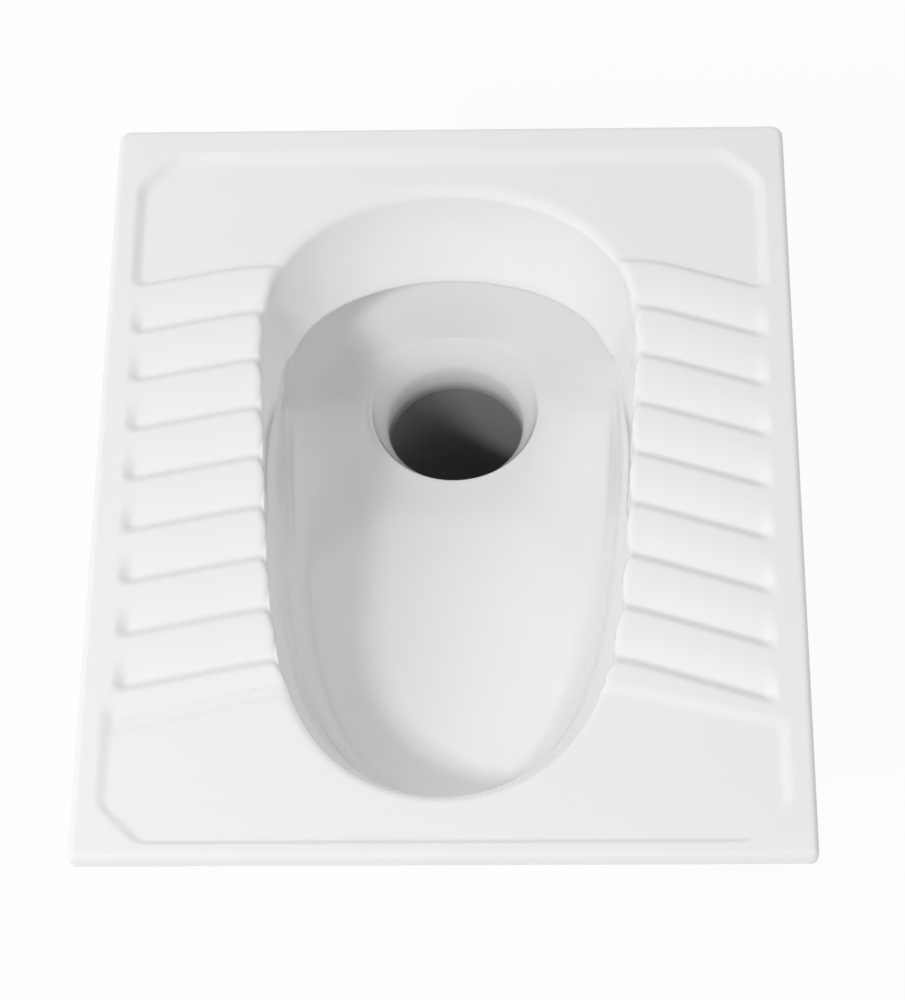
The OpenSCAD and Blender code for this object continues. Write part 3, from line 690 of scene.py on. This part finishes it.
def lip_profile(pipe_r, groove_r):
    """A ring's section: a back with two ribs that fills the groove, and a lip bent to the pipe."""
    a, b = pipe_r + FIT, groove_r - FIT
    return [(a + 0.6, 0), (a, 0.7), (a, 3.2), (a + 0.7, 4.2), (a + 1.6, 5), (a + 1.2, 6), (a + 0.3, 7),
            (a, 7.8), (a, 8.8), (a + 0.7, 9.9), (a + 1.6, 11.2), (a + 2.3, SEAL_H - 0.1),
            (a + 3, SEAL_H - 0.3), (b - 1.6, SEAL_H - 0.2), (b - 0.8, SEAL_H - 0.5),
            (b - 0.1, SEAL_H - 1.4), (b, 9.2), (b - 0.5, 8.6), (b - 0.5, 7.6), (b, 7), (b, 5),
            (b - 0.5, 4.4), (b - 0.5, 3.4), (b, 2.8), (b - 0.1, 1.4), (b - 0.8, 0.3), (b - 1.8, 0)]


rubber, look = finish_of("black_rubber", (0.026, 0.026, 0.028), 0.62, Specular_IOR_Level=0.4)
bloom = noise(look, 38.0, 4.0)
grain = noise(look, 1400.0, 2.0)
black = look.blend((0.018, 0.018, 0.02), (0.045, 0.045, 0.047), bloom.above(0.42, 0.72))
feed(look, "Base Color", black)
feed(look, "Roughness", 0.52 + bloom * 0.22)
feed(look, "Normal", look.node("ShaderNodeBump", {}, Strength=0.25, Distance=0.0002, Height=grain))

inside, outside, step = 16, INLET_BORE - FIT, 28 / 3
sleeve = [(inside + 0.6, 0), (outside + 5, 0), (outside + 5.8, 0.5), (outside + 6, 1.2),
          (outside + 6, 3.2), (outside + 5.6, 3.9), (outside + 1, 4), (outside, 4.6)]
for k in range(3):
    base_h = 4 + k * step
    sleeve += [(outside, base_h + 1), (outside - 0.2, base_h + 2), (outside - 1, base_h + step - 1.6),
               (outside - 1.2, base_h + step - 0.4), (outside - 1.0, base_h + step)]
sleeve += [(outside - 1.8, 32), (inside + 1, 32), (inside + 0.2, 31.4), (inside, 30.6), (inside, 22),
           (inside, 12), (inside, 3), (inside + 0.2, 0.8)]
for name, shell in (
        ("flush_inlet_seal", turned([(r, -h) for r, h in sleeve], (0, INLET_FACE + 4, INLET_Z), True)),
        ("outlet_seal", turned(lip_profile(HORN_R, HORN_R + BELL_GAP + SEAL_T),
                               (0, OUTLET_Y, BELL_TOP - BELL_LIP - SEAL_H - FIT))),
        ("trap_bend_seal", turned(lip_profile(SOIL_R, SOIL_R + BELL_GAP + SEAL_T),
                                  (0, RISER_Y, RISER_BELL_TOP - BELL_LIP - SEAL_H - FIT)))):
    ring = object_of("rubber_" + name, *shell, crease=50)
    ring.data.materials.append(rubber)
    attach(ring, "root")
    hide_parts(name)

# ---- The trap's body ------------------------------------------------------------------------
# A U bend of grey PVC, moulded in two halves of a mould that meet in its middle plane. Each leg
# ends in a bell with a groove for its seal, and a boss under the bend takes the cleaning plug.
TRAP_R, TRAP_Z, BELL_FLOOR, RISER_FLOOR = 68, -265.2, HORN_END - 2, -262
BOSS_Y, BOSS_R, BOSS_END, PLUG_R = 77, 31, -397.2, 25


def swept(stations, path, seam=0.0):
    """A closed shell of rings along a path, from pairs of way and radius that go out and back."""
    fine = [0.0, 0.9, -0.9, 1.8, -1.8]
    angles = sorted({*range(4, 360, 4), *[90 + f for f in fine], *[270 + f for f in fine]})
    angles = np.radians(np.array(angles))
    points = []
    for way, r, outside in stations:
        centre, normal = path(way)
        lift = seam * np.exp(-(np.cos(angles) / 0.022) ** 2) * outside
        x = (r + lift) * np.cos(angles)
        across = (r + lift) * np.sin(angles)
        y, z = centre[0] + across * normal[0], centre[1] + across * normal[1]
        points.append(np.stack([x, y, z], axis=1))
    return np.concatenate(points), looped_faces(len(stations), len(angles))


def trap_path(way):
    """Down the inlet leg, round the bend and up the riser, in the middle plane."""
    leg = BELL_TOP - TRAP_Z
    turn = math.pi * TRAP_R
    if way < leg:
        return (OUTLET_Y, BELL_TOP - way), (1, 0)
    if way < leg + turn:
        a = (way - leg) / TRAP_R
        return ((BOSS_Y + TRAP_R * math.cos(a), TRAP_Z - TRAP_R * math.sin(a)),
                (math.cos(a), -math.sin(a)))
    return (RISER_Y, TRAP_Z + way - leg - turn), (-1, 0)


def bell(pipe_r, top, floor, end):
    """Outside and inside of a bell, from its mouth down, as pairs of depth and radius."""
    bore, body = pipe_r + BELL_GAP, pipe_r + BELL_GAP + SOIL_T
    collar = body + SEAL_T
    groove = top - (BELL_LIP + FIT)
    low = groove - SEAL_H - 2 * FIT
    outside = [(0.0, bore + 1.2), (0.0, collar - 1.4), (0.4, collar - 0.4), (1.4, collar), (3.0, collar),
               (3.4, collar - 0.6), (4.6, collar - 0.6), (5.0, collar), (top - low + 2.4, collar),
               (top - low + 3.6, collar - 0.8), (top - low + 6.4, body + 0.7), (top - low + 7.6, body),
               (top - end - 1.2, body), (top - end, body - 0.6), (top - end + 2.4, SOIL_R + 1.0),
               (top - end + 4, SOIL_R)]
    inside = [(top - floor + 0.3, SOIL_R - SOIL_T), (top - floor, SOIL_R - SOIL_T + 0.6),
              (top - floor, bore - 0.8), (top - floor - 0.8, bore), (top - low, bore),
              (top - low, bore + 0.2), (top - low, bore + SEAL_T), (top - groove, bore + SEAL_T),
              (top - groove, bore + 0.2), (top - groove - 0.2, bore), (1.2, bore), (0.3, bore + 0.5)]
    return outside, inside


TRAP_WAY = (BELL_TOP - TRAP_Z) + math.pi * TRAP_R + (RISER_BELL_TOP - TRAP_Z)
in_out, in_in = bell(HORN_R, BELL_TOP, BELL_FLOOR, BELL_FLOOR - SOIL_T)
up_out, up_in = bell(SOIL_R, RISER_BELL_TOP, RISER_FLOOR, TRAP_Z)
bend_ways = list(np.linspace(BELL_TOP - TRAP_Z, BELL_TOP - TRAP_Z + math.pi * TRAP_R, 41))
outer = [*in_out, *[(w, SOIL_R) for w in (60, 90, *bend_ways[:-2])],
         *[(TRAP_WAY - w, r) for w, r in up_out[::-1]]]
inner = [*[(TRAP_WAY - w, r) for w, r in up_in[::-1]],
         *[(w, SOIL_R - SOIL_T) for w in (*bend_ways[::-1], 90, 60, 34)], *in_in]
stations = [(w, r, 1.0) for w, r in outer] + [(w, r, 0.0) for w, r in inner]
boss = [(PLUG_R + 0.6, 0), (BOSS_R - 1, 0), (BOSS_R - 0.2, 0.4), (BOSS_R, 1.2), (BOSS_R, 7),
        (BOSS_R + 0.4, 9), (BOSS_R + 2.2, 11), (BOSS_R + 3.5, 14.5), (BOSS_R + 3, 20),
        (PLUG_R + 0.2, 22), (PLUG_R, 21), (PLUG_R, 1.2)]
SEAM, CREASE = 0.45, 32
trap = object_of("trap_shell", *joined(swept(stations, trap_path, SEAM),
                                       turned(boss, (0, BOSS_Y, BOSS_END))), crease=CREASE)


def mouldings(look, dark, light, rough):
    """The look of a moulded pipe: slow streaks along it, specks of filler, and fine scuffs."""
    streak = noise(look, 14.0, 4.0, 0.55, (1, 1, 0.3))
    speck = noise(look, 900.0, 2.0)
    scuff = noise(look, 70.0, 5.0, 0.7, (1, 0.12, 1)).above(0.6, 0.74)
    colour = look.blend(dark, light, (streak * 0.7 + speck * 0.3).above(0.25, 0.75))
    feed(look, "Base Color", look.blend(colour, tuple(1.25 * c for c in light), scuff * 0.5))
    feed(look, "Roughness", rough + streak * 0.12 + scuff * 0.16)
    feed(look, "Normal", look.node("ShaderNodeBump", {}, Strength=0.2, Distance=0.0003,
                                   Height=speck * 0.6 + scuff * 0.4 + noise(look, 260.0, 2.0) * 0.4))


pipe_grey, look = finish_of("grey_pipe_plastic", (0.34, 0.345, 0.35), 0.4, Specular_IOR_Level=0.45)
mouldings(look, (0.32, 0.325, 0.33), (0.39, 0.395, 0.4), 0.34)


def round_ribs(piece, name, material, y, count, radius, deep, wide, high, level, start=0.0):
    """Ribs all round a piece, about an upright axis at y."""
    sizes = {"Count": count, "Radius": radius * mm, "Depth": deep * mm, "Width": wide * mm,
             "Height": high * mm, "Level": level * mm, "First angle": start, "Middle": y * mm}
    shape, wires = shaping(name, sizes, material)
    base, count, radius, deep, wide, high, height, start, middle = wires
    number = shape.node("GeometryNodeInputIndex")
    angle = start + number * (2 * math.pi) / count
    place = shape.node("ShaderNodeCombineXYZ", {}, angle.math("COSINE") * radius,
                       angle.math("SINE") * radius + middle, height)
    line = shape.node("GeometryNodeMeshLine", {}, Count=count)
    points = shape.node("GeometryNodeSetPosition", {}, line, Position=place)
    block_size = shape.node("ShaderNodeCombineXYZ", {}, deep, wide, high)
    block = shape.node("GeometryNodeMeshCube", {}, block_size, 2, 3, 4)
    at = shape.raw("ShaderNodeSeparateXYZ", {}, shape.node("GeometryNodeInputPosition"))
    along, aside, up = (Wire(shape, socket) for socket in at.outputs)
    pinch = 1.0 - (up.math("ABSOLUTE") / high * 2.0).above(0.55, 1.2) * 0.6
    crown = shape.node("ShaderNodeCombineXYZ", {}, along * pinch, aside * pinch, up)
    block = shape.node("GeometryNodeSetPosition", {}, block, Position=crown)
    block = shape.node("GeometryNodeSetShadeSmooth", {}, block, Shade_Smooth=False)
    turn = shape.node("ShaderNodeCombineXYZ", {}, 0.0, 0.0, angle)
    ribs = shape.node("GeometryNodeInstanceOnPoints", {}, points, Instance=block, Rotation=turn)
    both = shape.raw("GeometryNodeJoinGeometry")
    for wire in (ribs, base):
        shape.tree.links.new(wire.socket, both.inputs[0])
    shaped(piece, shape, Wire(shape, both.outputs[0]), sizes)


round_ribs(trap, "bell_ribs", pipe_grey, OUTLET_Y, 16, HORN_R + 6.4, 5, 2.2, 9.5, BELL_TOP - 26.5, 0.1)
round_ribs(trap, "riser_bell_ribs", pipe_grey, RISER_Y, 16, SOIL_R + 6.4, 5, 2.2, 18,
           RISER_BELL_TOP - 31, 0.1)
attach(trap, "root")
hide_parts("trap_body")

# ---- The outlet bend ------------------------------------------------------------------------
# A quarter bend of the same grey PVC. Its lower spigot pushes into the riser's bell, and its long
# chamfered spigot goes into the soil pipe, with two fine rings that mark how far.
BEND_R, ELBOW_Z, SOIL_Z, SPIGOT = 58, -220, -162, 80
BEND_RISE = ELBOW_Z - RISER_FLOOR - 2
BEND_WAY = BEND_RISE + math.pi / 2 * BEND_R + SPIGOT


def bend_path(way):
    """Up from the riser, round the quarter turn and out towards the near side."""
    turn = math.pi / 2 * BEND_R
    if way < BEND_RISE:
        return (RISER_Y, RISER_FLOOR + 2 + way), (1, 0)
    if way < BEND_RISE + turn:
        a = (way - BEND_RISE) / BEND_R
        return ((RISER_Y - BEND_R + BEND_R * math.cos(a), ELBOW_Z + BEND_R * math.sin(a)),
                (math.cos(a), math.sin(a)))
    return (RISER_Y - BEND_R - (way - BEND_RISE - turn), SOIL_Z), (0, 1)


curve = list(np.linspace(BEND_RISE, BEND_WAY - SPIGOT, 25))
outer = [(0.0, SOIL_R - 1.8), (0.3, SOIL_R - 1.4), (4.5, SOIL_R - 0.1), (5.5, SOIL_R), (20, SOIL_R),
         (36, SOIL_R), *[(w, SOIL_R) for w in curve], (BEND_WAY - 62, SOIL_R)]
for mark in (50, 44):
    outer += [(BEND_WAY - mark - 1.2, SOIL_R), (BEND_WAY - mark - 0.6, SOIL_R - 0.6),
              (BEND_WAY - mark + 0.6, SOIL_R - 0.6), (BEND_WAY - mark + 1.2, SOIL_R)]
outer += [(BEND_WAY - 20, SOIL_R), (BEND_WAY - 6.5, SOIL_R), (BEND_WAY - 5.5, SOIL_R - 0.1),
          (BEND_WAY - 0.3, SOIL_R - 1.5), (BEND_WAY, SOIL_R - 1.9)]
bore_r = SOIL_R - SOIL_T
inner = [(BEND_WAY, bore_r + 0.4), (BEND_WAY - 0.5, bore_r), (BEND_WAY - 40, bore_r),
         *[(w, bore_r) for w in curve[::-1]], (20, bore_r), (0.5, bore_r), (0.0, bore_r + 0.4)]
stations = [(w, r, 1.0 if 8 < w < BEND_WAY - 62 else 0.0) for w, r in outer]
stations += [(w, r, 0.0) for w, r in inner]
bend = object_of("bend_pipe", *swept(stations, bend_path, SEAM), crease=CREASE)
bend.data.materials.append(pipe_grey)
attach(bend, "root")
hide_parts("outlet_bend")

# ---- The cleaning plug ----------------------------------------------------------------------
# A screwed plug of darker plastic with a ribbed head and a square key, pulled up on a flat rubber
# washer. Its thread is cut in the short end that goes into the boss.
HEAD_R, HEAD_H, WASHER, REACH = 34, 12, 2, 12
POCKET_R, POCKET_H, KEY, KEY_ROUND = 21.9, 8, 24, 1.6
HEAD_Z, PLUG_H = BOSS_END - WASHER - HEAD_H, HEAD_H + WASHER + REACH
profile = [(POCKET_R, POCKET_H), (POCKET_R, 0.9), (POCKET_R + 0.8, 0.1), (HEAD_R - 3.2, 0),
           (HEAD_R - 1.9, 0.3), (HEAD_R - 1.1, 1.3), (HEAD_R - 0.9, 2.4), (HEAD_R - 0.9, HEAD_H - 1.6),
           (HEAD_R - 1.3, HEAD_H - 0.6), (HEAD_R - 2.2, HEAD_H - 0.05), (PLUG_R + 1.4, HEAD_H),
           (PLUG_R - 1.2, HEAD_H + 0.2)]
for thread in range(4):
    level = HEAD_H + WASHER + 0.6 + thread * 2.7
    profile += [(PLUG_R - 1.6, level), (PLUG_R - 0.35, level + 1.0), (PLUG_R - 0.35, level + 1.5),
                (PLUG_R - 1.6, level + 2.5)]
profile += [(PLUG_R - 1.8, PLUG_H - 0.8), (PLUG_R - 2.8, PLUG_H), (6, PLUG_H), (0.01, PLUG_H),
            (0.01, POCKET_H)]
half = KEY / 2
key_rows = [(half - 0.9, 0.0), (half - 0.15, 0.5), (half, 1.4), (half, POCKET_H + 1)]
key_points = []
corner_steps = [math.pi / 2 * k / 4 for k in range(5)]
for reach, level in key_rows:
    flat = reach - KEY_ROUND
    for q, (across, along) in enumerate(((1, 1), (-1, 1), (-1, -1), (1, -1))):
        for a in corner_steps:
            angle = a + q * math.pi / 2
            key_points.append((across * flat + KEY_ROUND * math.cos(angle),
                               along * flat + KEY_ROUND * math.sin(angle) + BOSS_Y, HEAD_Z + level))
key = key_points, stacked_faces(len(key_rows), 4 * len(corner_steps))
plug = object_of("plug_body", *joined(turned(profile, (0, BOSS_Y, HEAD_Z)), key), crease=CREASE)
plug_grey, look = finish_of("dark_plug_plastic", (0.075, 0.075, 0.08), 0.45, Specular_IOR_Level=0.45)
mouldings(look, (0.06, 0.06, 0.065), (0.09, 0.09, 0.095), 0.38)
round_ribs(plug, "grip_ribs", plug_grey, BOSS_Y, 36, HEAD_R - 1.4, 2.2, 2.4, 8.6, HEAD_Z + 6.3)
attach(plug, "root")
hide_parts("cleaning_plug")

# The washer is punched from flat rubber sheet, and bulges a little where the plug squeezes it.
washer_profile = [(PLUG_R + 0.3, 0), (BOSS_R - 0.9, 0), (BOSS_R - 0.4, 0.3), (BOSS_R - 0.25, 1.0),
                  (BOSS_R - 0.4, 1.7), (BOSS_R - 0.9, 2), (PLUG_R + 0.3, 2), (PLUG_R + 0.05, 1.6),
                  (PLUG_R, 1.0), (PLUG_R + 0.05, 0.4)]
washer = object_of("plug_washer", *turned(washer_profile, (0, BOSS_Y, BOSS_END - WASHER)), crease=50)
washer.data.materials.append(rubber)
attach(washer, "root")
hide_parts("cleaning_plug_seal")

# ---- The studio -----------------------------------------------------------------------------
# A pale floor under the trap, a white room, and two lamps on the left: a small one from the near
# side and a large soft one from the far side. The floor and the room look brighter than the light
# that they throw on the piece.
FLOOR_GAP, FLOOR_HALF = 30, 6000
floor_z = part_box("cleaning_plug")[0].z * 1000 - FLOOR_GAP
floor = object_of("floor", [(x * FLOOR_HALF, y * FLOOR_HALF, floor_z)
                            for x, y in ((-1, -1), (1, -1), (1, 1), (-1, 1))], [(0, 1, 2, 3)])


def seen_share(tree):
    """1 for the rays that show the studio itself, and 0 for those that only carry its light."""
    rays = tree.raw("ShaderNodeLightPath").outputs
    camera, glossy, through = (
        Wire(tree, rays[kind]) for kind in ("Is Camera Ray", "Is Glossy Ray", "Is Transmission Ray"))
    return (camera + glossy + through).math("MINIMUM", 1.0)


paper, look = finish_of("pale_floor", (0.93, 0.93, 0.93), 0.9, Specular_IOR_Level=0.1)
seen = seen_share(look)
glow = look.node("ShaderNodeEmission", {}, (1, 1, 1, 1), 1.0)
mixed = look.node("ShaderNodeMixShader", {}, seen * 0.94, Wire(look, look.shader.outputs[0]), glow)
look.tree.links.new(mixed.socket, look.tree.nodes["Material Output"].inputs["Surface"])
floor.data.materials.append(paper)

world = bpy.data.worlds.new("white_room")
world.use_nodes = True
bpy.context.scene.world = world
background = world.node_tree.nodes["Background"]
background.inputs["Color"].default_value = (1, 1, 1, 1)
strength = seen_share(Tree(world.node_tree)) * 0.5 + 0.5
world.node_tree.links.new(strength.socket, background.inputs["Strength"])


def lamp(name, place, size, power):
    """A square lamp that points at the plate's middle."""
    data = bpy.data.lights.new(name, "AREA")
    data.shape, data.size, data.energy = "SQUARE", size, power
    light = bpy.data.objects.new(name, data)
    bpy.context.scene.collection.objects.link(light)
    light.location = place
    light.rotation_euler = (-Vector(place)).to_track_quat("-Z", "Y").to_euler()
    light.visible_glossy = False


lamp("near_lamp", (-1.22, -1.86, 2.3), 0.35, 43)
lamp("far_lamp", (-2.12, 1.23, 2.06), 1.2, 16)

# The camera looks down from the near side, and is rolled a little, as the photograph's was.
FOCAL_HEIGHTS, SENSOR_H = 3.551, 24
camera_data = bpy.data.cameras.new("camera")
camera = bpy.data.objects.new("camera", camera_data)
bpy.context.scene.collection.objects.link(camera)
camera.location = (0.06434, -1.218, 1.9375)
tilt, yaw, roll = (math.radians(a) for a in (57.942, -2.897, -2.84))
ahead = Vector((math.sin(yaw) * math.cos(tilt), math.cos(yaw) * math.cos(tilt), -math.sin(tilt)))
across_view = ahead.cross(Vector((0, 0, 1))).normalized()
up_view = across_view.cross(ahead)
turned_across = across_view * math.cos(roll) + up_view * math.sin(roll)
turned_up = up_view * math.cos(roll) - across_view * math.sin(roll)
camera.rotation_euler = Matrix((turned_across, turned_up, -ahead)).transposed().to_euler()
camera_data.sensor_fit, camera_data.sensor_height = "VERTICAL", SENSOR_H
camera_data.lens = FOCAL_HEIGHTS * SENSOR_H
bpy.context.scene.camera = camera
bpy.context.scene.view_settings.view_transform = "Standard"
